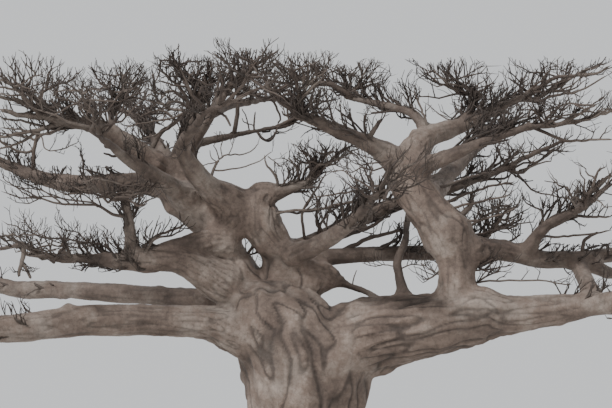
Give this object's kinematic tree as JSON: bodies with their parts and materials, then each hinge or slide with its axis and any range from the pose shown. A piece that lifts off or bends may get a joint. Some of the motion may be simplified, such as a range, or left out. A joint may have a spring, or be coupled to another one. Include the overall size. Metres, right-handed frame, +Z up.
{
  "type": "baobab tree",
  "caption": "Bare, wide-spreading baobab tree with a swollen trunk, heavy crooked boughs and flat tiers of leafless twigs, cut flat at ground level.",
  "frame": {"origin": "middle of the flat cut under the trunk, at ground level", "axes": "+Z up the trunk, X along the widest spread of the crown, -Y towards the side that the picture was taken from"},
  "size_m": [27.4289, 18.1178, 14.2724],
  "materials": {
    "bark": "rough folded bark, matt",
    "twig_bark": "smooth dry twig bark, matt"
  },
  "bodies": {
    "root": {"trunk": "bark", "leader_left": "bark", "bough_right_low": "bark", "leader_right": "bark", "bough_left_low": "bark", "bough_left_back": "bark", "bough_left_mid": "bark", "bough_left_riser": "bark", "bough_left_high": "bark", "bough_left_top": "bark", "bough_left_top_inner": "bark", "bough_crown_left": "bark", "bough_crown_mid": "bark", "bough_crown_back": "bark", "bough_centre": "bark", "bough_front_centre": "bark", "bough_front_left": "bark", "bough_front_right": "bark", "bough_back_left": "bark", "bough_back_centre": "bark", "bough_back_right": "bark", "bough_back_low": "bark", "bough_right_cross": "bark", "bough_right_mid": "bark", "bough_crown_right_inner": "bark", "bough_right_top": "bark", "bough_crown_right_over": "bark", "bough_right_top_inner": "bark", "bough_right_high": "bark", "bough_right_out": "bark", "bough_right_riser": "bark", "bough_right_link": "bark", "twigs_left_low": "twig_bark", "twigs_left_back": "twig_bark", "twigs_left_mid": "twig_bark", "twigs_left_riser": "twig_bark", "twigs_left_high": "twig_bark", "twigs_left_top": "twig_bark", "twigs_left_top_inner": "twig_bark", "twigs_crown_left": "twig_bark", "twigs_crown_mid": "twig_bark", "twigs_crown_back": "twig_bark", "twigs_centre": "twig_bark", "twigs_front_centre": "twig_bark", "twigs_front_left": "twig_bark", "twigs_front_right": "twig_bark", "twigs_back_left": "twig_bark", "twigs_back_centre": "twig_bark", "twigs_back_right": "twig_bark", "twigs_back_low": "twig_bark", "twigs_right_cross": "twig_bark", "twigs_right_mid": "twig_bark", "twigs_right_low": "twig_bark", "twigs_crown_right_inner": "twig_bark", "twigs_right_top": "twig_bark", "twigs_crown_right_over": "twig_bark", "twigs_right_top_inner": "twig_bark", "twigs_right_high": "twig_bark", "twigs_right_out": "twig_bark", "twigs_right_riser": "twig_bark"}
  },
  "joints": []
}
